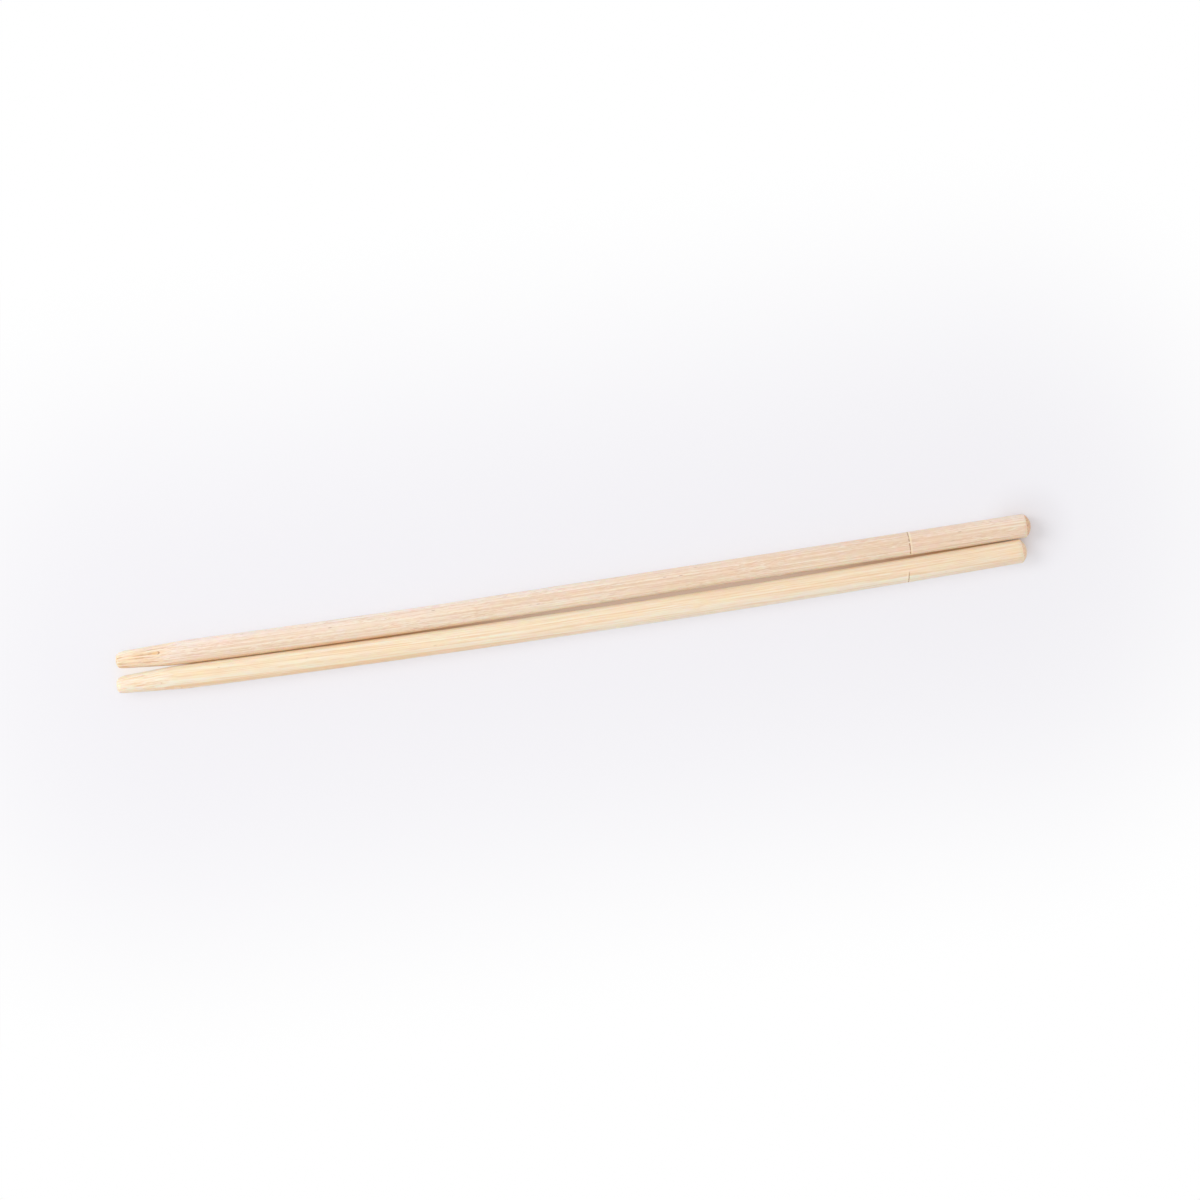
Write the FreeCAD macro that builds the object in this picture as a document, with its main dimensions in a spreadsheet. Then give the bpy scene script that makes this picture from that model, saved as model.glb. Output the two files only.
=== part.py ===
import FreeCAD, Part
import math
import os
import Sketcher

# A pair of round bamboo chopsticks, laid side by side on a table.
# Millimetres, +Z up. X runs along the pair, from the tips (-X) to the butts (+X).
# The origin is the middle of the pair, on the table.
# Each stick is one turned rod that has dried with a slight bow, so it rests on its side with the
# bow flat on the table. Its centreline is two arcs that meet, tangent, at the bend station.
# Each stick is drawn in a frame of its own: the bend station is at the origin, X runs along the
# stick towards its butt, and the bow is open towards +Y.

SIZES = (
    ("back_stick_length", 230.0, "along its centreline"),
    ("front_stick_length", 228.9, "along its centreline: its butt was cut a little shorter"),
    ("stick_diameter", 6.0, "shaft"),
    ("tip_diameter", 4.2, "where the cone would meet the flat tip, were it not rounded"),
    ("tip_cut_length", 15.8, "cone at the tip"),
    ("tip_rounding", 1.0, "radius between the cone and the flat tip"),
    ("butt_dome_height", 1.5, "turned dome at the butt"),
    ("ring_from_tip", 199.3, "scored ring: the tips were lined up when it was scored"),
    ("ring_width", 0.35, "scored ring, at the surface"),
    ("ring_depth", 0.15, "scored ring"),
    ("back_bend_station", 88.0, "from the tip"),
    ("back_tip_bend_radius", 2800.0, "between the tip and the bend station"),
    ("back_butt_bend_radius", 80000.0, "between the bend station and the butt, nearly straight"),
    ("back_cut_skew", -0.45, "degrees from the shaft to the axis of the tip's cone, in plan"),
    ("front_bend_station", 103.0, "from the tip"),
    ("front_tip_bend_radius", 5700.0, "between the tip and the bend station"),
    ("front_butt_bend_radius", 4500.0, "between the bend station and the butt"),
    ("front_cut_skew", 0.3, "degrees from the shaft to the axis of the tip's cone, in plan"),
    ("front_tip_lead", 0.75, "how far the front stick's tip lies beyond the back one's"),
    ("side_clearance", 0.1, "between the sticks where they are closest"),
)

doc = FreeCAD.newDocument("Chopsticks")


def fill_sheet():
    """Write each driving size to a cell of its own, under its name."""
    sheet = doc.addObject("Spreadsheet::Sheet", "Sizes")
    for row, (name, value, note) in enumerate(SIZES, start=1):
        sheet.set("A%d" % row, name)
        sheet.set("B%d" % row, str(value))
        sheet.set("C%d" % row, note)
        sheet.setAlias("B%d" % row, name)
    doc.recompute()
    return sheet


sheet = fill_sheet()


def size(formula):
    """What a formula on the sheet comes to, as a number."""
    return float(sheet.evalExpression(formula))


def sketch_on(body, role, name):
    """A sketch on one of the body's own origin planes."""
    sketch = body.newObject("Sketcher::SketchObject", name)
    plane = [feature for feature in body.Origin.OriginFeatures if feature.Role == role][0]
    sketch.AttachmentSupport = (plane, [""])
    sketch.MapMode = "FlatFace"
    return sketch


def drive(sketch, label, kind, geometry, formula):
    """Add a dimension to a sketch and bind it to a formula on the sheet."""
    index = sketch.addConstraint(Sketcher.Constraint(kind, *geometry, size(formula)))
    sketch.renameConstraint(index, label)
    sketch.setExpression("Constraints." + label, formula)


# Points of a sketch's geometry, and its two axes, as constraints name them.
START, END, CENTRE = 1, 2, 3
X_AXIS, Y_AXIS = -1, -2
ORIGIN = (X_AXIS, START)


def chain(sketch, points):
    """Straight lines from point to point, joined end to start."""
    lines = []
    for start, end in zip(points, points[1:]):
        line = Part.LineSegment(FreeCAD.Vector(*start, 0), FreeCAD.Vector(*end, 0))
        lines.append(sketch.addGeometry(line))
    for before, after in zip(lines, lines[1:]):
        sketch.addConstraint(Sketcher.Constraint("Coincident", before, END, after, START))
    return lines


def add_run(body, name, toward, bend_radius, length):
    """A stretch of the shaft: the round section, turned about the centre of its bow.

    toward is 1 for the run from the bend station to the butt, and -1 for the run to the tip.
    """
    sketch = sketch_on(body, "YZ_Plane", name + "_section")
    sketch.setExpression("AttachmentOffset.Base.x", bend_radius)
    reach = size(bend_radius)
    radius = size("Sizes.stick_diameter") / 2
    circle = Part.Circle(FreeCAD.Vector(-reach, 0, 0), FreeCAD.Vector(0, 0, 1), radius)
    section = sketch.addGeometry(circle)
    sketch.addConstraint(Sketcher.Constraint("PointOnObject", section, CENTRE, X_AXIS))
    drive(sketch, "bend_radius", "DistanceX", (section, CENTRE, *ORIGIN), bend_radius)
    drive(sketch, "diameter", "Diameter", (section,), "Sizes.stick_diameter")
    run = body.newObject("PartDesign::Revolution", name)
    run.Profile = sketch
    run.ReferenceAxis = (sketch, ["V_Axis"])
    run.setExpression("Angle", "(%s) / (%s) * 180 / pi" % (length, bend_radius))
    run.Reversed = toward < 0
    sketch.Visibility = False
    doc.recompute()


def ride_bow(sketch, toward, bend_radius, distance, skew="0"):
    """Set a sketch on the bowed centreline, at a distance along it from the bend station.

    Its X axis then runs along the stick there, turned by the skew.
    """
    turn = "(%s) / (%s) * 180 / pi" % (distance, bend_radius)
    radius = "(%s)" % bend_radius
    sketch.setExpression("AttachmentOffset.Base.x", "%d * %s * sin(%s)" % (toward, radius, turn))
    sketch.setExpression("AttachmentOffset.Base.y", "%s * (1 - cos(%s))" % (radius, turn))
    sketch.setExpression("AttachmentOffset.Rotation.Angle", "%d * %s + %s" % (toward, turn, skew))


def turn_away(body, sketch, name):
    """Turn a closed profile about its sketch's X axis and take it off the stick."""
    before = body.Shape.Volume
    groove = body.newObject("PartDesign::Groove", name)
    groove.Profile = sketch
    groove.ReferenceAxis = (sketch, ["H_Axis"])
    groove.Angle = 360
    sketch.Visibility = False
    doc.recompute()
    removed = before - body.Shape.Volume
    print("%s %s takes off %.3f mm3" % (body.Label, name, removed))
    if removed <= 0:
        raise ValueError(name + " cuts nothing")


def cut_tip(body, side):
    """Turn the tip to a blunt cone: a flat end, a rounded corner and a straight taper.

    The cone's side runs on past the shaft's surface, to twice its length, so a skewed cut is
    longer on one side of the stick than on the other, as a hand-fed cutter leaves it.
    """
    rounding = size("Sizes.tip_rounding")
    tip_radius = size("Sizes.tip_diameter / 2")
    far_x = size("2 * Sizes.tip_cut_length")
    far_y = size("Sizes.stick_diameter - Sizes.tip_diameter / 2")
    slope = math.atan2(far_y - tip_radius, far_x)
    corner_y = tip_radius - rounding * (1 - math.sin(slope)) / math.cos(slope)
    join_x = rounding * (1 - math.sin(slope))
    join_y = corner_y + rounding * math.cos(slope)

    sketch = sketch_on(body, "XY_Plane", "tip_cone_profile")
    ride_bow(sketch, -1, "Sizes.%s_tip_bend_radius" % side, "Sizes.%s_bend_station" % side,
             "Sizes.%s_cut_skew" % side)
    corner = Part.Circle(FreeCAD.Vector(rounding, corner_y, 0), FreeCAD.Vector(0, 0, 1), rounding)
    corner = sketch.addGeometry(Part.ArcOfCircle(corner, math.pi / 2 + slope, math.pi))
    cone, outside, before_tip, axis, flat = chain(sketch, (
        (join_x, join_y), (far_x, far_y), (-2 * rounding, far_y), (-2 * rounding, 0), (0, 0),
        (0, corner_y)))
    virtual_tip = sketch.addGeometry(Part.Point(FreeCAD.Vector(0, tip_radius, 0)), True)
    for constraint in (
        Sketcher.Constraint("Tangent", corner, START, cone, START),
        Sketcher.Constraint("Tangent", corner, END, flat, END),
        Sketcher.Constraint("Coincident", axis, END, *ORIGIN),
        Sketcher.Constraint("Horizontal", outside),
        Sketcher.Constraint("Vertical", before_tip),
        Sketcher.Constraint("Horizontal", axis),
        Sketcher.Constraint("Vertical", flat),
        Sketcher.Constraint("PointOnObject", virtual_tip, START, Y_AXIS),
        Sketcher.Constraint("PointOnObject", virtual_tip, START, cone),
    ):
        sketch.addConstraint(constraint)
    drive(sketch, "rounding", "Radius", (corner,), "Sizes.tip_rounding")
    drive(sketch, "tip_radius", "DistanceY", (*ORIGIN, virtual_tip, START),
          "Sizes.tip_diameter / 2")
    drive(sketch, "far_length", "DistanceX", (*ORIGIN, cone, END), "2 * Sizes.tip_cut_length")
    drive(sketch, "far_radius", "DistanceY", (*ORIGIN, cone, END),
          "Sizes.stick_diameter - Sizes.tip_diameter / 2")
    drive(sketch, "overrun", "DistanceX", (axis, START, *ORIGIN), "2 * Sizes.tip_rounding")
    turn_away(body, sketch, "tip_cone")


def cut_butt(body, side):
    """Turn the butt to a low dome, a cap of the sphere that its height and the shaft give.

    The arc runs on a little past the shaft's surface before it turns back.
    """
    dome = ("((Sizes.stick_diameter / 2) ^ 2 + Sizes.butt_dome_height ^ 2)"
            " / (2 * Sizes.butt_dome_height)")
    edge = "(Sizes.stick_diameter / 2 + %s) / 2" % dome
    dome_radius = size(dome)
    edge_y = size(edge)
    edge_x = -dome_radius + math.sqrt(dome_radius ** 2 - edge_y ** 2)
    past_butt = 2 * size("Sizes.butt_dome_height")

    sketch = sketch_on(body, "XY_Plane", "butt_dome_profile")
    ride_bow(sketch, 1, "Sizes.%s_butt_bend_radius" % side,
             "Sizes.{0}_stick_length - Sizes.{0}_bend_station".format(side))
    cap = Part.Circle(FreeCAD.Vector(-dome_radius, 0, 0), FreeCAD.Vector(0, 0, 1), dome_radius)
    cap = sketch.addGeometry(Part.ArcOfCircle(cap, 0, math.asin(edge_y / dome_radius)))
    outside, beyond, axis = chain(sketch, (
        (edge_x, edge_y), (past_butt, edge_y), (past_butt, 0), (0, 0)))
    for constraint in (
        Sketcher.Constraint("Coincident", cap, START, *ORIGIN),
        Sketcher.Constraint("PointOnObject", cap, CENTRE, X_AXIS),
        Sketcher.Constraint("Coincident", cap, END, outside, START),
        Sketcher.Constraint("Horizontal", outside),
        Sketcher.Constraint("Vertical", beyond),
        Sketcher.Constraint("Horizontal", axis),
        Sketcher.Constraint("Coincident", axis, END, *ORIGIN),
    ):
        sketch.addConstraint(constraint)
    drive(sketch, "dome_radius", "Radius", (cap,), dome)
    drive(sketch, "edge_radius", "DistanceY", (*ORIGIN, cap, END), edge)
    drive(sketch, "overrun", "DistanceX", (*ORIGIN, axis, START), "2 * Sizes.butt_dome_height")
    turn_away(body, sketch, "butt_dome")


def score_ring(body, side):
    """Score a shallow V round the shaft, near the butt.

    The V is drawn at twice its depth and width, so that it opens outside the shaft.
    """
    width = size("Sizes.ring_width")
    bottom = size("Sizes.stick_diameter / 2 - Sizes.ring_depth")
    top = size("Sizes.stick_diameter / 2 + Sizes.ring_depth")

    sketch = sketch_on(body, "XY_Plane", "ring_profile")
    ride_bow(sketch, 1, "Sizes.%s_butt_bend_radius" % side,
             "Sizes.ring_from_tip - Sizes.%s_bend_station" % side)
    down, up, across = chain(sketch, ((-width, top), (0, bottom), (width, top), (-width, top)))
    for constraint in (
        Sketcher.Constraint("Coincident", across, END, down, START),
        Sketcher.Constraint("PointOnObject", down, END, Y_AXIS),
        Sketcher.Constraint("Symmetric", across, START, across, END, Y_AXIS),
    ):
        sketch.addConstraint(constraint)
    drive(sketch, "bottom", "DistanceY", (*ORIGIN, down, END),
          "Sizes.stick_diameter / 2 - Sizes.ring_depth")
    drive(sketch, "drawn_depth", "DistanceY", (down, END, down, START), "2 * Sizes.ring_depth")
    drive(sketch, "drawn_width", "DistanceX", (across, END, across, START),
          "2 * Sizes.ring_width")
    turn_away(body, sketch, "ring")


def make_stick(side):
    """One chopstick: the bowed shaft, over-long at both ends, and then its three turned cuts."""
    body = doc.addObject("PartDesign::Body", side + "_chopstick")
    body.Label = side + "_chopstick"
    add_run(body, "tip_run", -1, "Sizes.%s_tip_bend_radius" % side,
            "Sizes.%s_bend_station + Sizes.tip_rounding" % side)
    add_run(body, "butt_run", 1, "Sizes.%s_butt_bend_radius" % side,
            "Sizes.{0}_stick_length - Sizes.{0}_bend_station + Sizes.butt_dome_height".format(side))
    cut_tip(body, side)
    cut_butt(body, side)
    score_ring(body, side)
    return body


def bow_point(side, from_tip):
    """The centreline's point at a distance from the tip, in the stick's own frame."""
    run = from_tip - size("Sizes.%s_bend_station" % side)
    end = "tip" if run < 0 else "butt"
    bend_radius = size("Sizes.%s_%s_bend_radius" % (side, end))
    turn = run / bend_radius
    return FreeCAD.Vector(bend_radius * math.sin(turn), bend_radius * (1 - math.cos(turn)), 0)


def full_stretch(side):
    """Where a stick has its full diameter, as distances from its tip."""
    dome_edge = size("Sizes.%s_stick_length - Sizes.butt_dome_height" % side)
    return size("Sizes.tip_cut_length"), dome_edge


def centreline(side, placement):
    """The centreline of the full-diameter stretch, in the pair's frame."""
    first, last = full_stretch(side)
    station = size("Sizes.%s_bend_station" % side)
    arcs = []
    for start, end in ((first, station), (station, last)):
        points = [bow_point(side, start + share * (end - start)) for share in (0, 0.5, 1)]
        arcs.append(Part.Arc(*points).toShape())
    wire = Part.Wire(arcs)
    wire.Placement = placement
    return wire


def along_pair(side, tip_x, chord_y):
    """Place a stick with the chord of its full-diameter stretch along X, on the table."""
    first, last = full_stretch(side)
    chord = bow_point(side, last) - bow_point(side, first)
    turn = FreeCAD.Rotation(FreeCAD.Vector(0, 0, 1), -math.degrees(math.atan2(chord.y, chord.x)))
    tip = turn.multVec(bow_point(side, 0))
    start = turn.multVec(bow_point(side, first))
    axis_height = size("Sizes.stick_diameter / 2")
    return FreeCAD.Placement(FreeCAD.Vector(tip_x - tip.x, chord_y - start.y, axis_height), turn)


def lay_pair(back, front):
    """Lay the sticks side by side, slide them together, and centre the pair on the origin."""
    apart = size("2 * Sizes.stick_diameter")
    back.Placement = along_pair("back", 0, apart / 2)
    front.Placement = along_pair("front", -size("Sizes.front_tip_lead"), -apart / 2)
    nearest = centreline("back", back.Placement).distToShape(
        centreline("front", front.Placement))[0]
    slide = nearest - size("Sizes.stick_diameter + Sizes.side_clearance")
    front.Placement.Base.y += slide
    box = Part.makeCompound([back.Shape, front.Shape]).optimalBoundingBox(False, False)
    middle = FreeCAD.Vector(box.Center.x, box.Center.y, 0)
    for stick in (back, front):
        stick.Placement.Base -= middle


def check_document():
    """Stop if any object failed, without writing anything."""
    for item in doc.Objects:
        if "Invalid" in item.State or "Error" in item.State:
            raise ValueError("%s did not build: %s" % (item.Name, item.State))
        if item.TypeId == "Sketcher::SketchObject" and item.solve() != 0:
            raise ValueError(item.Name + " can't be solved")


def write_steps(bodies):
    """Check each stick's solid and write it to a file of its own name."""
    os.makedirs("parts", exist_ok=True)
    for body in bodies:
        if body.Shape.isNull() or not body.Shape.isValid() or len(body.Shape.Solids) != 1:
            raise ValueError(body.Label + " is not one valid solid")
    for body in bodies:
        box = body.Shape.optimalBoundingBox(False, False)
        print("%s: %.1f mm3, X %.2f to %.2f, Y %.2f to %.2f, Z %.2f to %.2f" % (
            body.Label, body.Shape.Volume, box.XMin, box.XMax, box.YMin, box.YMax, box.ZMin,
            box.ZMax))
        body.Shape.exportStep("parts/%s.step" % body.Label)


back_stick = make_stick("back")
front_stick = make_stick("front")
lay_pair(back_stick, front_stick)
doc.recompute()
check_document()
write_steps((back_stick, front_stick))
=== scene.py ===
# %% [markdown]
# # A pair of round bamboo chopsticks
#
# Two thin turned rods lie side by side on a pale table. Nothing about them is hidden, so their
# whole look rests on three things: the true outline of each rod, the grain of the bamboo, and
# the soft light in the narrow gap between them.
#
# The frame holds each stick as a smooth solid at its real size. This script dresses each one
# with a finer mesh in the same place, and paints the bamboo with nodes.

# %% Load the frame
import itertools
import math

import bpy
import numpy as np
from mathutils import Matrix, Vector


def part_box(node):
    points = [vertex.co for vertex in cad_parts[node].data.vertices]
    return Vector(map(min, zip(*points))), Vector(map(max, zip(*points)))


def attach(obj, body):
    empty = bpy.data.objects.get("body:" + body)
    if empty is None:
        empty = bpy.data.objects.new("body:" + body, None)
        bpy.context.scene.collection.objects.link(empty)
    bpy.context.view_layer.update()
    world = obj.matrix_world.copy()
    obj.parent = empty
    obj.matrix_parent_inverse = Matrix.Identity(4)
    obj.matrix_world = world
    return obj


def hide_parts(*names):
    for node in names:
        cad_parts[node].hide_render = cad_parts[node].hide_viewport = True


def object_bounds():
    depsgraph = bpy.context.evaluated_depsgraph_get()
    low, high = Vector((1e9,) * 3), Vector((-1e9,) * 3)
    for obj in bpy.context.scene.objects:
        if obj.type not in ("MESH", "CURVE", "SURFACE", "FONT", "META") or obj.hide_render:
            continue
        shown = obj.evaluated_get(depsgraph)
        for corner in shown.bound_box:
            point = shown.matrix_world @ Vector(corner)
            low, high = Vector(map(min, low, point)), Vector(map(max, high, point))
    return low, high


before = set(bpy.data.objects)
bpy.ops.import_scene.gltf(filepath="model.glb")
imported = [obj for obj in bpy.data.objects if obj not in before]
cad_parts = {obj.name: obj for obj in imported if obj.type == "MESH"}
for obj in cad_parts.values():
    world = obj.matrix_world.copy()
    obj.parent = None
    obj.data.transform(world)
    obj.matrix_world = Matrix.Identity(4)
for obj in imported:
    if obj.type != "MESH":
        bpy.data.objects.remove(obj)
cad_low, cad_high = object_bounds()
MM = 0.001
print("the pair measures", [round(side / MM, 2) for side in cad_high - cad_low], "mm")

# %% [markdown]
# ## The two sticks
#
# Both are cut to one pattern: a 6 mm rod, a blunt cone at the tip, a low dome at the butt and a
# ring scored at one distance from the tip. What tells them apart is how each one was cut off,
# how it dried, and which way it rolled to rest. Each has a length and a bow of its own, made of
# two arcs that meet at a station, and each shows another side of the culm it was split from.
#
# A dictionary for each stick keeps these differences in one place. Lengths are in millimetres
# and angles in degrees. An angle round the stick is 0 on the +Y side and 90 on top.
#
# - A ring is scored round its middle angle, as far as its reach to either side. Its slant is a
#   shift along the stick and a lean, because it wasn't scored quite square.
# - A knot is a distance from the tip, a place across the stick in Y and Z, and a size.
# - The culm node is where all the fibres swerve: its distance from the tip, how far they are
#   lifted, and over what length.

# %% Sizes
CONE_LENGTH = 15.8
TIP_RADIUS = 2.1
TIP_ROUNDING = 1.0
DOME_HEIGHT = 1.5
RING_FROM_TIP = 199.3
RING_WIDTH = 0.35
RING_DEPTH = 0.15
SHAFT_RADIUS = (cad_high.z - cad_low.z) / 2 / MM

STICKS = {
    "back_chopstick": {
        "length": 230.0,
        "bend_station": 88.0,
        "tip_bend": 2800.0,
        "butt_bend": 80000.0,
        "cone_skew": -0.45,
        "ring_middle": 60,
        "ring_reach": 115,
        "ring_slant": (0.0, 0.0),
        # Which edge of the score gets a painted highlight: 1 the butt's, -1 the tip's.
        "ring_highlight_side": 1,
        "knots": [(10.25, 0.6, 2.6, 0.42)],
        "culm_node": (14.0, 0.2, 12.0),
        "seed": 7,
    },
    "front_chopstick": {
        "length": 228.9,
        "bend_station": 103.0,
        "tip_bend": 5700.0,
        "butt_bend": 4500.0,
        "cone_skew": 0.3,
        "ring_middle": 195,
        "ring_reach": 100,
        "ring_slant": (-0.28, 0.19),
        "ring_highlight_side": -1,
        "knots": [(10.8, -0.8, 2.5, 0.3), (15.0, -2.6, 1.3, 0.5)],
        "culm_node": (13.0, 0.5, 11.0),
        "seed": 19,
    },
}
print("shaft radius", round(SHAFT_RADIUS, 3), "mm")

# %% [markdown]
# ## The bow
#
# A stick's centreline is drawn first in a frame of its own, with the bend station at the
# origin. It is then turned so that the chord of its full-thickness stretch lies along X, and
# slid until its tip and its lowest side meet the solid's own box. So the mesh lands on the
# solid without any fitting by eye.
#
# `Bow.at` takes distances from the tip, and gives the centreline's points and its direction
# there. It works on whole arrays, because a mesh asks for hundreds of stations at once.


# %% A bowed centreline
class Bow:
    """The centreline of one stick, in millimetres, seen from above."""

    def __init__(self, stick, low, high):
        self.stick = stick
        self.turn = 0.0
        self.shift = np.zeros(2)
        ends, _ = self.at([CONE_LENGTH, stick["length"] - DOME_HEIGHT])
        chord = ends[1] - ends[0]
        self.turn = -math.atan2(chord[1], chord[0])
        stations = np.linspace(0, stick["length"], 400)
        points, _ = self.at(stations)
        full = points[stations > CONE_LENGTH]
        self.shift = np.array([low.x / MM - points[:, 0].min(),
                               low.y / MM + SHAFT_RADIUS - full[:, 1].min()])

    def at(self, from_tip):
        run = np.asarray(from_tip, float) - self.stick["bend_station"]
        bend = np.where(run < 0, self.stick["tip_bend"], self.stick["butt_bend"])
        angle = run / bend
        x, y = bend * np.sin(angle), bend * (1 - np.cos(angle))
        cos, sin = math.cos(self.turn), math.sin(self.turn)
        points = np.stack([cos * x - sin * y, sin * x + cos * y], axis=-1) + self.shift
        return points, angle + self.turn


bows = {name: Bow(stick, *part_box(name)) for name, stick in STICKS.items()}
for name, bow in bows.items():
    ends, _ = bow.at([0, bow.stick["length"]])
    print(name, "runs from", ends[0].round(2), "to", ends[1].round(2))

# %% [markdown]
# ## The turned profile
#
# The stick is a solid of revolution before it is anything else, so its mesh is a stack of
# rings. The profile lists where the rings are: a distance from the tip and a radius for each.
# They are close together where the form turns quickly, at the tip's rounded corner, the ring
# and the dome, and further apart along the shaft, whose grain is long.
#
# The scored ring isn't in the profile, because it is uneven round the stick. It comes with the
# relief below, and the profile only gives it close rings to be cut into.


# %% Stations and radii along a stick
FACE_RINGS = 4
CORNER_RINGS = 9
DOME_RINGS = 15
CONE_STEP = 0.28
SHAFT_STEP = 0.62
RING_STEP = 0.05
BEFORE_RING = 1.15
AFTER_RING = 0.66


def corner_points(steps):
    """The rounded corner between the flat tip and the cone's side."""
    slope = math.atan2(SHAFT_RADIUS - TIP_RADIUS, CONE_LENGTH)
    centre = TIP_RADIUS - TIP_ROUNDING * (1 - math.sin(slope)) / math.cos(slope)
    turns = np.linspace(0, math.pi / 2 - slope, steps)
    along = TIP_ROUNDING * (1 - np.cos(turns))
    return along, centre + TIP_ROUNDING * np.sin(turns)


def dome_points(length, steps):
    """The dome's cap, from its edge to just before the middle of the butt."""
    dome_radius = (SHAFT_RADIUS ** 2 + DOME_HEIGHT ** 2) / (2 * DOME_HEIGHT)
    turns = np.linspace(math.asin(SHAFT_RADIUS / dome_radius), 0, steps + 1)[:-1]
    along = length - dome_radius * (1 - np.cos(turns))
    return along, dome_radius * np.sin(turns)


def profile(length):
    """Distances from the tip and radii, one for each ring of the mesh."""
    corner_x, corner_r = corner_points(CORNER_RINGS)
    face_r = np.linspace(0, corner_r[0], FACE_RINGS + 2)[1:-1]
    cone_x = np.arange(corner_x[-1] + 0.25, CONE_LENGTH + 3.5, CONE_STEP)
    before_ring = np.arange(cone_x[-1] + 0.6, RING_FROM_TIP - BEFORE_RING - 0.05, SHAFT_STEP)
    at_ring = np.arange(RING_FROM_TIP - BEFORE_RING, RING_FROM_TIP + AFTER_RING, RING_STEP)
    dome_x, dome_r = dome_points(length, DOME_RINGS)
    after_ring = np.arange(at_ring[-1] + 0.5, dome_x[0] - 0.3, SHAFT_STEP)
    shaft_x = np.concatenate([cone_x, before_ring, at_ring, after_ring])
    along = np.concatenate([0 * face_r, corner_x, shaft_x, dome_x])
    radius = np.concatenate([face_r, corner_r, np.full(len(shaft_x), SHAFT_RADIUS), dome_r])
    return along, radius


for name, stick in STICKS.items():
    along, radius = profile(stick["length"])
    at_ends = int((radius < SHAFT_RADIUS).sum())
    print(name, "has", len(along), "rings,", at_ends, "of them at the ends")

# %% [markdown]
# ## Relief
#
# Bamboo is a bundle of stiff fibres in softer pith. Turning leaves the fibres a little proud,
# tears some of them out, and leaves the rod slightly out of round. The relief is worked out in
# the stick's own straight coordinates, so that the grain follows the bow.
#
# `wander` is a small noise function: random values on a grid, blended smoothly in between. All
# relief cuts into the rod and none stands out of it, which keeps the mesh inside the solid.
#
# Only a fifth of the score's depth is cut into the mesh. Its brown paint stands in, partly, for
# the shade of a deeper groove.


# %% Smooth noise on arrays
def wander(points, seed):
    """Smooth random values from -1 to 1, on a grid one unit wide."""
    values = np.random.default_rng(seed).uniform(-1, 1, 4096)
    cell = np.floor(points).astype(np.int64)
    part = points - cell
    part = part * part * (3 - 2 * part)
    total = np.zeros(points.shape[:-1])
    for corner in itertools.product((0, 1), repeat=3):
        x, y, z = np.moveaxis(cell + np.array(corner), -1, 0)
        weight = np.prod(np.where(np.array(corner), part, 1 - part), axis=-1)
        total += weight * values[(x * 7919 + y * 104729 + z * 1299709) % 4096]
    return total


def stretched(grain, along, across):
    """The grain's coordinates, counted in cells of these sizes."""
    return grain / np.array([along, across, across])


# %% How deep each point of the surface is cut
RIDGE_WIDTH = 0.34
RIDGE_DEPTH = 0.016
FINE_DEPTH = 0.008
FLAT_DEPTH = 0.035
TORN_DEPTH = 0.05
# A fifth of the score's depth; painted shade in the ring's brown makes up the rest.
SHALLOW_RING_DEPTH = 0.2 * RING_DEPTH


def ring_cut(stick, x, angle):
    """The scored ring: ragged, and deep on only part of the way round."""
    seed = stick["seed"]
    round_it = np.stack([np.cos(angle), np.sin(angle), 0 * angle], axis=-1)
    shift, slant = stick["ring_slant"]
    middle = RING_FROM_TIP + shift + slant * SHAFT_RADIUS * np.cos(angle)
    middle = middle + 0.12 * wander(round_it * 4, seed + 1)
    profile_cut = np.clip(1 - np.abs(x - middle) / (RING_WIDTH / 2), 0, 1)
    off_middle = (np.degrees(angle) - stick["ring_middle"] + 180) % 360 - 180
    shown = np.clip(1.3 - np.abs(off_middle) / stick["ring_reach"], 0.15, 1)
    broken = np.clip(0.75 + 0.6 * wander(round_it * 7, seed + 2), 0.1, 1)
    return SHALLOW_RING_DEPTH * profile_cut * shown * broken


def relief(stick, grain, angle, cut_across):
    """How far each point lies inside the smooth form, in millimetres."""
    seed = stick["seed"]
    ridges = 0.5 + 0.5 * wander(stretched(grain, 14, RIDGE_WIDTH), seed)
    fine = 0.5 + 0.5 * wander(stretched(grain, 5, 0.17), seed + 3)
    flats = 0.5 + 0.5 * wander(stretched(grain, 22, 2.6), seed + 4)
    torn = np.clip(wander(stretched(grain, 1.6, 0.22), seed + 5) - 0.55, 0, 1)
    depth = RIDGE_DEPTH * ridges + FINE_DEPTH * fine + FLAT_DEPTH * flats + TORN_DEPTH * torn
    rougher = cut_across * (0.02 * fine + 0.025 * ridges)
    return depth + rougher + ring_cut(stick, grain[..., 0], angle)


print("a ridge is about", RIDGE_WIDTH, "mm wide and", RIDGE_DEPTH, "mm high")

# %% [markdown]
# ## A stick's mesh
#
# Each ring is a circle round the centreline, pulled in by the cone and the relief. The cone was
# cut a little askew, so its axis leaves the stick's axis by a fraction of a degree. A point is
# on the cone or on the shaft, whichever lies further in, and that gives the slanting edge where
# the taper begins.
#
# The mesh keeps two things about each point for the paint. `grain` is where the point was
# before the stick bowed, and `cut_across` says how much of the surface is cut across the
# fibres: none on the shaft, a little on the cone, and all of it on the flat tip and the dome.


# %% Build the rings
AROUND = 156


def cone_limit(stick, x, angle):
    """How far out the skewed cone's side lies, from the stick's axis."""
    cone = TIP_RADIUS + (SHAFT_RADIUS - TIP_RADIUS) * x / CONE_LENGTH
    offset = np.tan(math.radians(stick["cone_skew"])) * x
    return offset * np.cos(angle) + np.sqrt(cone ** 2 - (offset * np.sin(angle)) ** 2)


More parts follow.
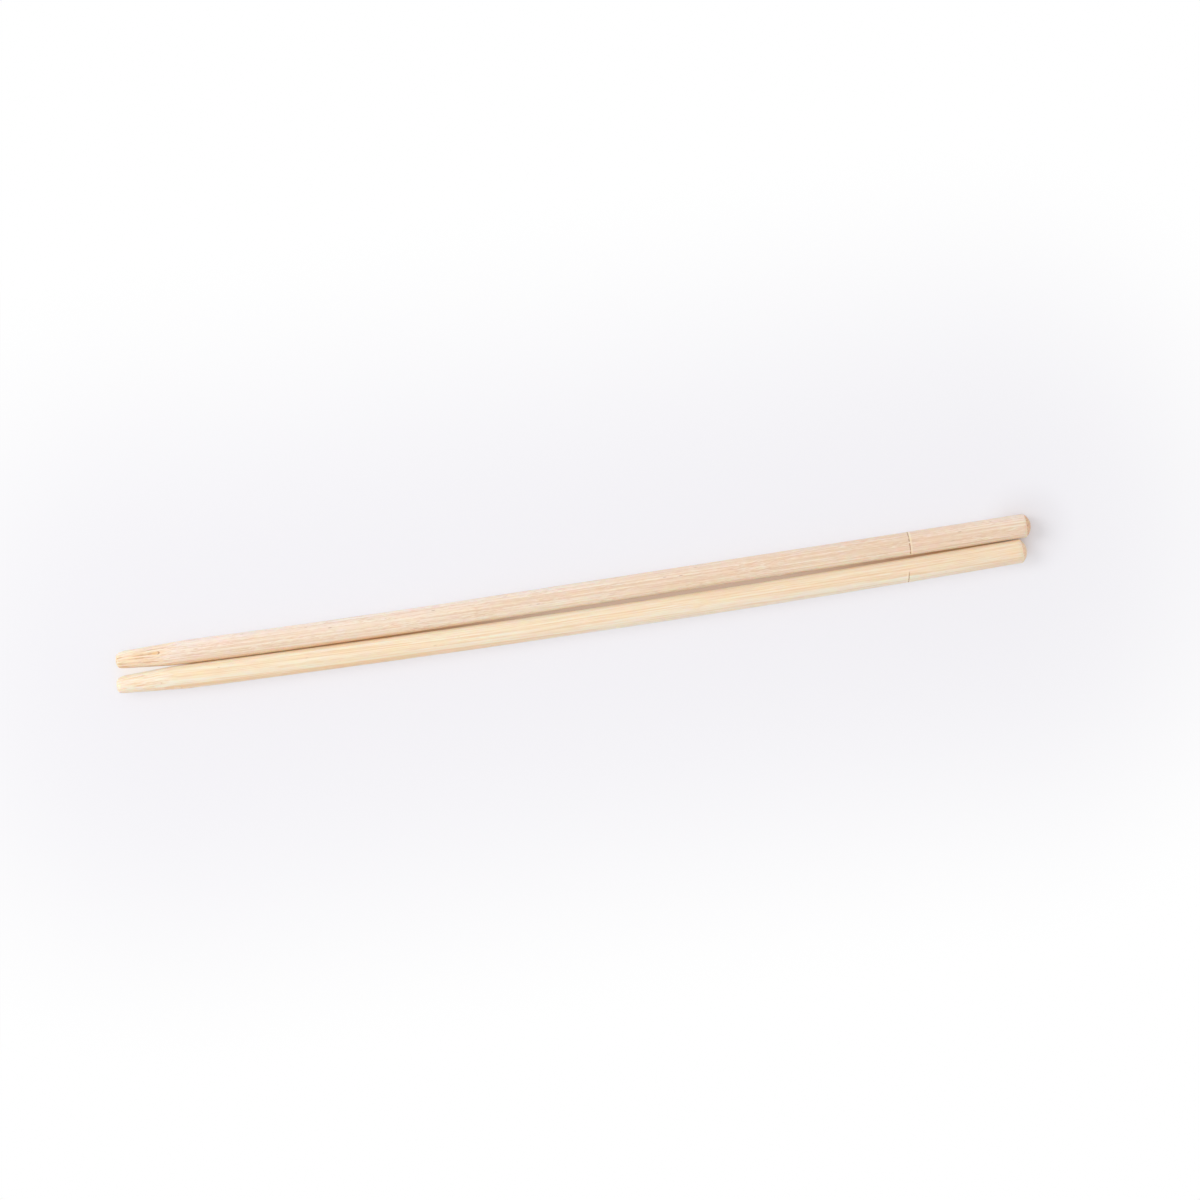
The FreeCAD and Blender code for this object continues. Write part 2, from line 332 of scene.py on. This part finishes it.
def tip_wear(stick, x, angle):
    """The tip's corner, rubbed down unevenly, in millimetres off the radius."""
    round_it = np.stack([np.cos(angle), np.sin(angle), 0.3 * x], axis=-1)
    near_tip = np.clip(1 - x / 2.4, 0, 1) ** 1.5
    uneven = 0.5 + 0.5 * wander(round_it * 2.4, stick["seed"] + 6)
    far_side = np.clip(np.cos(angle - math.radians(25)), 0, 1)
    return near_tip * (0.2 * uneven + 0.55 * far_side)


def smooth_step(x):
    x = np.clip(x, 0, 1)
    return x * x * (3 - 2 * x)


def stick_mesh(name, stick, bow):
    """One chopstick as a closed stack of rings, with its grain."""
    along, radius = profile(stick["length"])
    rings = len(along)
    angle = np.arange(AROUND) * 2 * math.pi / AROUND
    x = np.repeat(along[:, None], AROUND, axis=1)
    angle = np.repeat(angle[None, :], rings, axis=0)
    reach = np.minimum(radius[:, None], cone_limit(stick, x, angle))
    on_cone = smooth_step((SHAFT_RADIUS - reach) / 0.3)
    past_dome_edge = x - stick["length"] + DOME_HEIGHT
    on_end = np.clip((0.9 - x) / 0.9, 0, 1) + np.clip(past_dome_edge / 0.3, 0, 1)
    cut_across = np.clip(0.35 * on_cone + on_end, 0, 1)
    grain = np.stack([x, reach * np.cos(angle), reach * np.sin(angle)], axis=-1)
    share = reach / SHAFT_RADIUS
    reach = reach - share * (relief(stick, grain, angle, cut_across) + tip_wear(stick, x, angle))
    centre, heading = bow.at(along)
    side = reach * np.cos(angle)
    place = np.stack([
        centre[:, 0, None] - np.sin(heading)[:, None] * side,
        centre[:, 1, None] + np.cos(heading)[:, None] * side,
        SHAFT_RADIUS + reach * np.sin(angle),
    ], axis=-1).reshape(-1, 3)
    ends, _ = bow.at([0, stick["length"]])
    poles = [(*ends[0], SHAFT_RADIUS), (*ends[1], SHAFT_RADIUS)]
    grain_poles = [(0, 0, 0), (stick["length"], 0, 0)]
    verts = np.concatenate([place, poles]) * MM
    faces = []
    for ring in range(rings - 1):
        for spot in range(AROUND):
            after = (spot + 1) % AROUND
            low, high = ring * AROUND, (ring + 1) * AROUND
            faces.append((low + spot, high + spot, high + after, low + after))
    last, tip_pole, butt_pole = (rings - 1) * AROUND, rings * AROUND, rings * AROUND + 1
    for spot in range(AROUND):
        after = (spot + 1) % AROUND
        faces.append((tip_pole, spot, after))
        faces.append((butt_pole, last + after, last + spot))
    mesh = bpy.data.meshes.new(name)
    mesh.from_pydata(verts.tolist(), [], faces)
    mesh.shade_smooth()
    stored = mesh.attributes.new("grain", "FLOAT_VECTOR", "POINT")
    stored.data.foreach_set("vector", np.concatenate([grain.reshape(-1, 3), grain_poles]).ravel())
    stored = mesh.attributes.new("cut_across", "FLOAT", "POINT")
    stored.data.foreach_set("value", np.concatenate([cut_across.ravel(), [1, 1]]))
    mesh.validate()
    return mesh


# %% Stand each mesh in for its solid
dressed = {}
for name, stick in STICKS.items():
    mesh = stick_mesh(name, stick, bows[name])
    piece = bpy.data.objects.new(name.replace("chopstick", "bamboo"), mesh)
    bpy.context.scene.collection.objects.link(piece)
    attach(piece, "root")
    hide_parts(name)
    dressed[name] = piece
    print(piece.name, "has", len(piece.data.polygons), "faces")

# %% [markdown]
# ## Shader arithmetic
#
# A material is a graph of nodes, and maths in it soon becomes a tangle of Math nodes. `Wire`
# wraps one output of a node, so that `1 - mask` or `a * 0.5 + b` adds those nodes by itself.
# Numbers on their own are worked out in Python and never reach the graph.
#
# Every other node comes from `Wire.node`: its type, its settings, and what goes into it.


# %% The Wire class
class Wire:
    """One output socket of a node graph, on which arithmetic adds Math nodes."""

    def __init__(self, tree, socket=None):
        self.tree = tree
        self.socket = socket

    def node(self, kind, settings=None, inputs=None):
        """Add a node, set it up, feed it, and give it back."""
        made = self.tree.nodes.new(kind)
        for key, value in (settings or {}).items():
            setattr(made, key, value)
        for key, value in (inputs or {}).items():
            if isinstance(value, Wire):
                self.tree.links.new(value.socket, made.inputs[key])
            else:
                made.inputs[key].default_value = value
        return made

    def out(self, made, key=0):
        return Wire(self.tree, made.outputs[key])

    def feed(self, made, key):
        """Run this wire into a node that is there already."""
        self.tree.links.new(self.socket, made.inputs[key])

    def maths(self, operation, *values):
        made = self.node("ShaderNodeMath", {"operation": operation}, dict(enumerate(values)))
        return self.out(made)

    def __add__(self, other):
        return self.maths("ADD", self, other)

    def __radd__(self, other):
        return self.maths("ADD", other, self)

    def __sub__(self, other):
        return self.maths("SUBTRACT", self, other)

    def __rsub__(self, other):
        return self.maths("SUBTRACT", other, self)

    def __mul__(self, other):
        return self.maths("MULTIPLY", self, other)

    def __rmul__(self, other):
        return self.maths("MULTIPLY", other, self)

    def __truediv__(self, other):
        return self.maths("DIVIDE", self, other)

    def __rtruediv__(self, other):
        return self.maths("DIVIDE", other, self)

    def __abs__(self):
        return self.maths("ABSOLUTE", self)

    def ramp(self, low, high):
        """0 below low, 1 above high, and smooth between them."""
        made = self.node("ShaderNodeMapRange", {"interpolation_type": "SMOOTHSTEP"},
                         {"Value": self, "From Min": low, "From Max": high})
        return self.out(made)

    def parts(self):
        made = self.node("ShaderNodeSeparateXYZ", None, {0: self})
        return [self.out(made, key) for key in range(3)]

    def vector(self, x, y, z):
        return self.out(self.node("ShaderNodeCombineXYZ", None, {0: x, 1: y, 2: z}))

    def noise(self, detail=2.0, rough=0.5):
        """Smooth noise from 0 to 1 on cells one unit wide."""
        made = self.node("ShaderNodeTexNoise", None,
                         {"Vector": self, "Scale": 1.0, "Detail": detail, "Roughness": rough})
        return self.out(made)

    def cells(self, spread=1.0):
        """The distance to the middle of the nearest cell, and a random value for that cell."""
        made = self.node("ShaderNodeTexVoronoi", None,
                         {"Vector": self, "Scale": 1.0, "Randomness": spread})
        return self.out(made, "Distance"), self.out(made, "Color").parts()[0]

    def tint(self, factor, start, end):
        """A colour between two colours, given as numbers or as wires."""
        made = self.node("ShaderNodeMix", {"data_type": "RGBA"})
        for key, value in ((0, factor), (6, start), (7, end)):
            if isinstance(value, Wire):
                self.tree.links.new(value.socket, made.inputs[key])
            else:
                made.inputs[key].default_value = value if key == 0 else (*value, 1)
        return self.out(made, 2)


def strongest(wires):
    """The highest of several wires, point by point."""
    highest = wires[0]
    for wire in wires[1:]:
        highest = highest.maths("MAXIMUM", highest, wire)
    return highest


def new_material(name):
    """An empty material with its Principled shader, and a wire to start from."""
    material = bpy.data.materials.new(name)
    material.use_nodes = True
    shader = material.node_tree.nodes["Principled BSDF"]
    return material, shader, Wire(material.node_tree)


# %% [markdown]
# ## Bamboo
#
# Seen up close, this bamboo is four things laid over each other:
#
# - a pale ground that drifts slowly between pinkish cream and straw,
# - long thin lines, one every half millimetre, where fibre bundles graze the surface,
# - short dashes and flecks, where a bundle or a vessel is cut through,
# - bolder orange and brown streaks wherever the cut crosses the fibres, on the cone and ends.
#
# All four are read from the `grain` coordinates, stretched a long way along the stick. Since
# the pattern fills the solid and isn't wrapped round it, a bundle that makes a long line on the
# shaft makes a flame on the cone and a dot on the dome, as in the real thing.
#
# The sticks share one recipe, and each has a look of its own: the colours, and how strong and
# how long the marks are. A band is a strip of another colour along one side of the stick, and
# is mostly painted light and shade: a side made lighter or darker for how light falls on it. It
# has the side's angle, the colour, where the band begins and where it is full, on a scale that
# is 1 at that angle and 0 a quarter turn away, and its share near the tip and near the butt.


# %% The looks of the two sticks
def linear(red, green, blue):
    """A colour picked from 0 to 255 as it looks on screen, as the shader needs it."""
    shares = [value / 255 for value in (red, green, blue)]
    return tuple(s / 12.92 if s <= 0.04045 else ((s + 0.055) / 1.055) ** 2.4 for s in shares)


PALE = {
    "ground": linear(246, 229, 212),
    "warm": linear(243, 222, 198),
    "butt": linear(238, 214, 190),
    # The bands are mostly painted light and shade. The pinkish +Y side is a painted haze of
    # glare.
    "light_shade_and_skin_bands": [(0, linear(246, 233, 225), 0.1, 0.95, 0.6, 0.25),
              # The -Y side, toward the slit, is painted lighter near the butt, lifting its shade.
              (180, linear(253, 236, 214), 0.2, 0.7, 0.0, 0.55),
              # Orange along the slit side: partly the culm's skin, partly painted contact shade
              # and bounce.
              (180, linear(240, 203, 162), 0.7, 0.86, 0.75, 0.0)],
    "line": linear(222, 188, 156),
    "light": linear(254, 243, 232),
    "fleck": linear(190, 160, 132),
    "cut": linear(250, 221, 187),
    "cut_dark": linear(208, 156, 102),
    "cut_light": linear(254, 236, 210),
    "knot": linear(240, 200, 146),
    "knot_rim": linear(180, 132, 88),
    "end_grain": linear(232, 194, 160),
    "end_dark": linear(176, 122, 86),
    "line_strength": 0.4,
    "dash_strength": 0.5,
    "dash_length": 1.8,
    "fleck_share": 0.03,
}
GOLDEN = {
    "ground": linear(254, 235, 212),
    "warm": linear(252, 226, 194),
    "butt": linear(246, 223, 196),
    # Painted light: the -Y edge made lighter toward the butt, lifting its shade.
    "light_shade_and_skin_bands": [(180, linear(255, 240, 224), 0.1, 0.7, 0.0, 0.5),
              # Darker tan along the -Y edge toward the tip: partly the culm's skin, partly
              # painted edge shade.
              (180, linear(244, 204, 158), 0.56, 0.74, 0.75, 0.0)],
    "line": linear(234, 200, 158),
    "light": linear(255, 246, 232),
    "fleck": linear(204, 170, 132),
    "cut": linear(255, 234, 213),
    "cut_dark": linear(242, 206, 166),
    "cut_light": linear(255, 241, 224),
    "knot": linear(252, 226, 206),
    "knot_rim": linear(234, 204, 172),
    "end_grain": linear(242, 214, 182),
    "end_dark": linear(212, 168, 126),
    "line_strength": 0.5,
    "dash_strength": 0.3,
    "dash_length": 4.0,
    "fleck_share": 0.008,
}
# Ring: brown partly its own, partly painted shade; the pale edge is a painted highlight.
RING_BROWN_AND_SHADE = linear(170, 116, 60)
RING_HIGHLIGHT = linear(255, 240, 210)

print("the pale look has", len(PALE["light_shade_and_skin_bands"]), "bands, the golden look", len(GOLDEN["light_shade_and_skin_bands"]))

# %% [markdown]
# ## Where the fibres run
#
# Fibres are never quite straight. They drift slowly from side to side, swerve at the culm node,
# and part round a knot as a stream parts round a stone. The marks are therefore laid out by
# `side` and `height`, which are the grain's `y` and `z` with those swerves added.
#
# `Grain` gathers the wires that every layer of paint reads. `laid` counts a point's place in
# cells that are long along the stick and narrow across it, ready for noise or for cells.

# %% The grain of one stick
KNOT_STRETCH = 2.2
KNOT_PULL = 0.75


class Grain:
    """Where each point lies in the bamboo of one stick, and the marks that several layers use."""

    def __init__(self, start, look, stick):
        self.start = start
        self.stick = stick
        self.seed = float(stick["seed"])
        place = start.node("ShaderNodeAttribute", {"attribute_name": "grain"})
        self.x, self.y, self.z = start.out(place, "Vector").parts()
        across = start.node("ShaderNodeAttribute", {"attribute_name": "cut_across"})
        self.cut = start.out(across, "Fac")
        self.swerve()
        self.part_round_knots()
        self.streak = self.laid(42, 0.3, dz=self.seed).noise(2.0, 0.6)
        self.dash = self.laid(look["dash_length"], 0.19, dz=-self.seed).noise(1.0, 0.5)
        ragged = (self.cut + (self.streak - 0.5) * 0.6).ramp(0.0, 0.3)
        self.on_cone = self.cut.ramp(0.0, 0.12) * ragged

    def swerve(self):
        """Let the fibres drift, and lift them at the culm node."""
        drift = self.start.vector(self.x / 60 + self.seed, self.seed, 0.0).noise(1.0)
        node_at, node_lift, node_reach = self.stick["culm_node"]
        from_node = (self.x - node_at) / node_reach
        slide = (drift - 0.5) * 0.9 - node_lift / (1 + from_node * from_node)
        self.side = self.y + slide
        self.height = self.z - slide * 0.6 + self.x * 0.004

    def part_round_knots(self):
        """Squeeze the fibres aside at each knot, and mark its core and its rim."""
        cores, rims = [], []
        for from_tip, knot_y, knot_z, size in self.stick["knots"]:
            along = (self.x - from_tip) / (size * KNOT_STRETCH)
            off_y, off_z = self.y - knot_y, self.z - knot_z
            reach = along * along + (off_y * off_y + off_z * off_z) / size ** 2
            bell = 1 / (1 + reach * 0.5)
            self.side = self.side - off_y * bell * KNOT_PULL
            self.height = self.height - off_z * bell * KNOT_PULL
            cores.append(reach.ramp(1.5, 0.2))
            rims.append(abs(reach - 1.0).ramp(0.6, 0.1) * along.ramp(0.2, 0.9))
        self.knot, self.knot_rim = strongest(cores), strongest(rims)

    def laid(self, length, width, dx=0.0, dy=0.0, dz=0.0):
        """The point's place in cells of this length and width, shifted by whole cells."""
        return self.start.vector(self.x / length + dx, self.side / width + dy,
                                 self.height / width + dz)

    def facing(self, degrees):
        """1 on the side of the stick at this angle, -1 on the far side."""
        turn = math.radians(degrees)
        return (self.y * math.cos(turn) + self.z * math.sin(turn)) / SHAFT_RADIUS


for name, stick in STICKS.items():
    print("knots near the tip of", name + ":", len(stick["knots"]))

# %% [markdown]
# ## Layers of paint
#
# Each function below takes the colour so far and gives it back with one more layer on it. A
# layer is always the same three steps: make a mask from 0 to 1, weaken it to the share that the
# layer should have, and blend towards the layer's own colour by that much.

# %% The ground and its bands
def paint_ground(grain, look):
    """Cream drifting to straw, deeper to the butt, orange on the cone, and bands of painted light
    and shade.
    """
    start, x = grain.start, grain.x
    tone = grain.laid(30, 1.7, dy=grain.seed).noise(2.0, 0.5)
    colour = start.tint(tone.ramp(0.36, 0.64) * 0.8, look["ground"], look["warm"])
    colour = start.tint(x.ramp(30, 215) * 0.85, colour, look["butt"])
    colour = start.tint(grain.on_cone * 0.8, colour, look["cut"])
    # Each band paints one side lighter or darker for how light falls; two are partly the culm's
    # skin.
    for angle, band_colour, low, high, tip_share, butt_share in look["light_shade_and_skin_bands"]:
        share = tip_share + x.ramp(60, 130) * (butt_share - tip_share)
        colour = start.tint(grain.facing(angle).ramp(low, high) * share, colour, band_colour)
    return colour


# %% Lines and flames
def paint_bundles(grain, look, colour):
    """Long lines on the shaft and flames on the cone, from the same fibre bundles."""
    start, on_cone = grain.start, grain.on_cone
    off_middle, pick = grain.laid(60, 0.62, dz=-grain.seed).cells()
    lines = off_middle.ramp(0.46, 0.15) * pick.ramp(0.2, 0.8) * (1 - on_cone)
    colour = start.tint(lines * look["line_strength"] * 0.5, colour, look["line"])
    flames = off_middle.ramp(0.42, 0.2) * pick.ramp(0.05, 0.35) * on_cone
    flickering = flames * (0.55 + grain.dash.ramp(0.4, 0.6) * 0.45)
    colour = start.tint(flickering, colour, look["cut_dark"])
    return start.tint(off_middle.ramp(0.45, 0.65) * on_cone * 0.6, colour, look["cut_light"])


def paint_streaks(grain, look, colour):
    """Fine streaks, darker and lighter than the ground."""
    start, streak = grain.start, grain.streak
    colour = start.tint(streak.ramp(0.52, 0.62) * look["line_strength"], colour, look["line"])
    return start.tint(streak.ramp(0.47, 0.37) * 0.5, colour, look["light"])


# %% Dashes, flecks and knots
def paint_dashes(grain, look, colour):
    """Short dashes that come in patches, and a rare dark fleck."""
    start, dash = grain.start, grain.dash
    patch = grain.laid(14, 1.6, dx=-grain.seed).noise(1.0)
    share = look["dash_strength"] * (0.35 + patch.ramp(0.4, 0.65) * 0.65)
    colour = start.tint(dash.ramp(0.54, 0.66) * share, colour, look["line"])
    colour = start.tint(dash.ramp(0.44, 0.34) * share, colour, look["light"])
    off_middle, pick = grain.laid(2.0, 0.3, dz=grain.seed).cells()
    flecks = off_middle.ramp(0.34, 0.16) * pick.ramp(1 - look["fleck_share"], 1.0)
    return start.tint(flecks * (1 - grain.cut), colour, look["fleck"])


def paint_knots(grain, look, colour):
    """A knot's core, and the rim on its butt side."""
    colour = grain.start.tint(grain.knot * 0.6, colour, look["knot"])
    return grain.start.tint(grain.knot_rim * 0.8, colour, look["knot_rim"])


# %% The butt and the ring
def paint_butt(grain, look, colour):
    """The dome, where every fibre bundle ends in a dot."""
    start = grain.start
    off_middle, pick = start.vector(0.0, grain.y / 0.46, grain.z / 0.46 + grain.seed).cells(0.8)
    dots = off_middle.ramp(0.5, 0.22) * (0.4 + pick * 0.6)
    end_grain = start.tint(dots, look["end_grain"], look["end_dark"])
    at_butt = grain.cut.ramp(0.4, 1.0) * grain.x.ramp(100, 101)
    return start.tint(at_butt, colour, end_grain)


def paint_ring(grain, colour):
    """The score: its own brown and painted shade in the cut, and a painted highlight on one edge.
    """
    start, stick = grain.start, grain.stick
    shift, slant = stick["ring_slant"]
    from_ring = grain.x - RING_FROM_TIP - shift - grain.y * slant
    around = start.vector(grain.seed, grain.y * 1.6, grain.z * 1.6).noise(2.0)
    in_ring = abs(from_ring + (around - 0.5) * 0.25).ramp(RING_WIDTH * 0.5, RING_WIDTH * 0.2)
    shown_to = math.cos(math.radians(stick["ring_reach"]))
    shown = grain.facing(stick["ring_middle"]).ramp(shown_to - 0.2, shown_to + 0.4)
    unbroken = around.ramp(0.34, 0.5)
    # Brown in the cut: the score's own colour, and painted shade for the shallow groove.
    colour = start.tint(in_ring * shown * unbroken * 0.75, colour, RING_BROWN_AND_SHADE)
    # A painted highlight along one edge of the score.
    from_edge = abs(from_ring - RING_WIDTH * stick["ring_highlight_side"])
    highlight_strip = from_edge.ramp(RING_WIDTH, RING_WIDTH * 0.3)
    return start.tint(highlight_strip * shown * 0.55, colour, RING_HIGHLIGHT)


# %% [markdown]
# ## The finished material
#
# Bamboo is dull, a little translucent, and rougher where it is cut across. Light that enters it
# comes out again a millimetre or two away, and redder than it went in. That softens the shading
# on so thin a rod. The same dashes and streaks that colour the surface also raise it by a few
# hundredths of a millimetre, through the Bump node.

# %% Put the layers on each stick
def bamboo(name, look, stick):
    """The bamboo of one stick, painted by where each point lies in the grain."""
    material, shader, start = new_material(name)
    grain = Grain(start, look, stick)
    colour = paint_ground(grain, look)
    for layer in (paint_bundles, paint_streaks, paint_dashes, paint_knots, paint_butt):
        colour = layer(grain, look, colour)
    paint_ring(grain, colour).feed(shader, "Base Color")
    roughness = 0.58 + grain.streak * 0.12 + grain.cut * 0.12
    roughness.feed(shader, "Roughness")
    bump = start.node("ShaderNodeBump", None, {
        "Strength": 0.35, "Distance": 0.03 * MM, "Height": grain.dash + grain.streak})
    start.out(bump).feed(shader, "Normal")
    shader.inputs["Specular IOR Level"].default_value = 0.35
    shader.inputs["Subsurface Weight"].default_value = 0.8
    shader.inputs["Subsurface Radius"].default_value = (1.0, 0.55, 0.3)
    shader.inputs["Subsurface Scale"].default_value = 1.8 * MM
    return material


for name, look, title in (("back_chopstick", PALE, "pale_bamboo"),
                          ("front_chopstick", GOLDEN, "golden_bamboo")):
    material = bamboo(title, look, STICKS[name])
    dressed[name].data.materials.append(material)
    print(title, "is on", dressed[name].name, "and has", len(material.node_tree.nodes), "nodes")

# %% [markdown]
# ## The table
#
# The table is a plain pale floor. It has to take the pair's soft shadow and still look nearly
# white, so its shader blends two things: a dull white floor, and a glow that only the camera
# sees. The glow has a little over half the say close to the pair, where the shadow belongs, and
# all of it far away. Close by it is also a little grey, so the table round the pair is a painted
# pool of pale shade. No other ray meets the glow, so it throws no light on the bamboo.
#
# Light that gets in between the sticks comes back tinted by the bamboo on both sides. That is
# painted into the glow: painted shade and bounce light, brown where the slit is narrow and sandy
# where it is wide, and a little warm painted bounce light in the wedge between the tips. Just
# past the butts the glow is weaker, because they shade the table: a painted shadow, where the
# floor's own grey and the butts' own shadow show more.

# %% The floor
HALF_FLOOR = 1.5
floor_mesh = bpy.data.meshes.new("floor")
corners = [(x * HALF_FLOOR, y * HALF_FLOOR, 0) for x, y in ((-1, -1), (1, -1), (1, 1), (-1, 1))]
floor_mesh.from_pydata(corners, [], [(0, 1, 2, 3)])
floor = bpy.data.objects.new("floor", floor_mesh)
bpy.context.scene.collection.objects.link(floor)
print("the floor is", 2 * HALF_FLOOR, "m wide")

# %% The places on the floor
floor_paint, floor_shader, floor_wire = new_material("table_white")
place = floor_wire.out(floor_wire.node("ShaderNodeTexCoord"), "Object")
floor_x, floor_y, _ = place.parts()


def span(x, low, high, soft):
    """1 between two places on the floor, fading to 0 over a soft edge outside them."""
    return x.ramp(low - soft, low) * x.ramp(high + soft, high)


def distance(x, y):
    """How far a point is, when it is this far off in X and in Y."""
    return x.maths("SQRT", x * x + y * y)


BUTT_END = Vector((cad_high.x, cad_high.y / 2))
between = span(floor_y, -1.5 * MM, 1.5 * MM, 3 * MM)
in_slit = between * span(floor_x, -96 * MM, 111 * MM, 5 * MM)
wide_slit = span(floor_x, 0.0, 50 * MM, 50 * MM)
at_tips = between * span(floor_x, -112 * MM, -102 * MM, 6 * MM)
past_ends = floor_wire.maths("MAXIMUM", abs(floor_x) - 100 * MM, 0.0)
far = distance(past_ends, floor_y).ramp(8 * MM, 105 * MM)
by_butts = distance(floor_x - BUTT_END.x, floor_y - BUTT_END.y).ramp(13 * MM, 3 * MM)
print("the butts shade the table round", [round(side / MM, 1) for side in BUTT_END], "mm")

# %% The glow that the camera sees
NEAR_SHARE = 0.6
BUTT_SHADE = 0.5
TIP_SHARE = 0.3
WHITE = (1.0, 1.0, 1.0)

# Near the pair the glow is a little grey: a painted pool of pale shade.
glow_colour = floor_wire.tint(far, linear(247, 246, 250), WHITE)
# Warm painted bounce light in the wedge between the tips.
glow_colour = floor_wire.tint(at_tips, glow_colour, linear(252, 243, 236))
# Painted shade and bounce light in the slit: brown where it is narrow, sandy where wide.
slit_bounce_colour = floor_wire.tint(wide_slit, linear(194, 128, 62), linear(214, 180, 156))
glow_colour = floor_wire.tint(in_slit, glow_colour, slit_bounce_colour)
glow = floor_wire.node("ShaderNodeEmission", None, {"Color": glow_colour})
# Less glow by the butts is a painted shadow; the floor's own grey shows more there.
share = NEAR_SHARE + far * (1 - NEAR_SHARE) - by_butts * BUTT_SHADE
# More glow at the tips and in the wide slit is painted bounce light; less in the narrow slit is
# painted shade.
share = share + at_tips * TIP_SHARE + in_slit * (wide_slit * 0.25 - 0.08)
seen = floor_wire.out(floor_wire.node("ShaderNodeLightPath"), "Is Camera Ray")
floor_shader.inputs["Base Color"].default_value = (*linear(239, 237, 241), 1)
floor_shader.inputs["Roughness"].default_value = 0.9
blend = floor_wire.node("ShaderNodeMixShader", None, {
    0: seen * share, 1: floor_wire.out(floor_shader), 2: floor_wire.out(glow)})
floor_wire.out(blend).feed(floor_wire.tree.nodes["Material Output"], "Surface")
floor_mesh.materials.append(floor_paint)
print("the floor's material has", len(floor_wire.tree.nodes), "nodes")

# %% [markdown]
# ## The light
#
# The light is plain and soft. An even sky gives most of it. A broad lamp up on the left throws
# the shadow to the right of the butts, and a weak one overhead lifts the tops of the sticks.
# The shares add up to 1, so a colour comes out of the render about as it was written.
#
# The sky has two faces. The camera and reflections see plain white, and everything else gets
# the sky's own share of light.

# %% The light
SIDE_SHARE = 0.2
TOP_SHARE = 0.1
SKY_SHARE = 1 - SIDE_SHARE - TOP_SHARE

world = bpy.data.worlds.new("soft_sky")
bpy.context.scene.world = world
world.use_nodes = True
sky = Wire(world.node_tree)
even_light = world.node_tree.nodes["Background"]
even_light.inputs["Color"].default_value = (*WHITE, 1)
even_light.inputs["Strength"].default_value = SKY_SHARE
backdrop = sky.node("ShaderNodeBackground", None, {"Color": (*WHITE, 1), "Strength": 1.0})
path = sky.node("ShaderNodeLightPath")
rays = ("Is Camera Ray", "Is Glossy Ray", "Is Transmission Ray")
looked_at = strongest([sky.out(path, ray) for ray in rays])
blend = sky.node("ShaderNodeMixShader", None, {
    0: looked_at, 1: sky.out(even_light), 2: sky.out(backdrop)})
sky.out(blend).feed(world.node_tree.nodes["World Output"], "Surface")
print("the sky gives", round(SKY_SHARE, 2), "of the light on the table")


def add_lamp(name, way, share, size):
    """A round soft lamp a metre away, that gives this share of the light on the table."""
    way = Vector(way).normalized()
    data = bpy.data.lights.new(name, "AREA")
    data.shape = "DISK"
    data.size = size
    data.energy = share * math.pi / way.z * math.pi
    lamp = bpy.data.objects.new(name, data)
    lamp.location = way
    lamp.rotation_euler = (-way).to_track_quat("-Z", "Y").to_euler()
    bpy.context.scene.collection.objects.link(lamp)
    print(name, "gives", share, "of the light on the table")


add_lamp("side_lamp", (-0.9, 0.4, 1.0), SIDE_SHARE, 0.5)
add_lamp("top_lamp", (0.0, 0.0, 1.0), TOP_SHARE, 0.6)

# %% [markdown]
# ## The camera
#
# The camera looks straight down from about arm's length. The picture is square, and the pair
# rises to the right in it, so the camera is turned about its own axis by that slope. One pixel
# covers a known length on the table, which gives the lens, and the pair's place in the picture
# gives the spot that the camera hangs over.

# %% The camera
PICTURE = 1200
PIXEL = 0.2489 * MM
PAIR_IN_PICTURE = (574.3, 608.0)
SLOPE = math.radians(8.54)
CAMERA_HEIGHT = 750 * MM

camera_data = bpy.data.cameras.new("camera")
camera_data.sensor_width = 36
camera_data.lens = camera_data.sensor_width * CAMERA_HEIGHT / (PICTURE * PIXEL)
camera_data.clip_start = 0.05
camera = bpy.data.objects.new("camera", camera_data)
right = Vector((math.cos(SLOPE), -math.sin(SLOPE), 0))
up = Vector((math.sin(SLOPE), math.cos(SLOPE), 0))
to_middle = [PICTURE / 2 - place for place in PAIR_IN_PICTURE]
middle = (cad_low + cad_high) / 2
spot = middle + (right * to_middle[0] - up * to_middle[1]) * PIXEL
above = Matrix.Translation(spot + Vector((0, 0, CAMERA_HEIGHT)))
turned = Matrix(((right.x, up.x, 0, 0), (right.y, up.y, 0, 0), (0, 0, 1, 0), (0, 0, 0, 1)))
camera.matrix_world = above @ turned
bpy.context.scene.collection.objects.link(camera)
bpy.context.scene.camera = camera
bpy.context.scene.view_settings.view_transform = "Standard"
print("the lens is", round(camera_data.lens, 1), "mm")
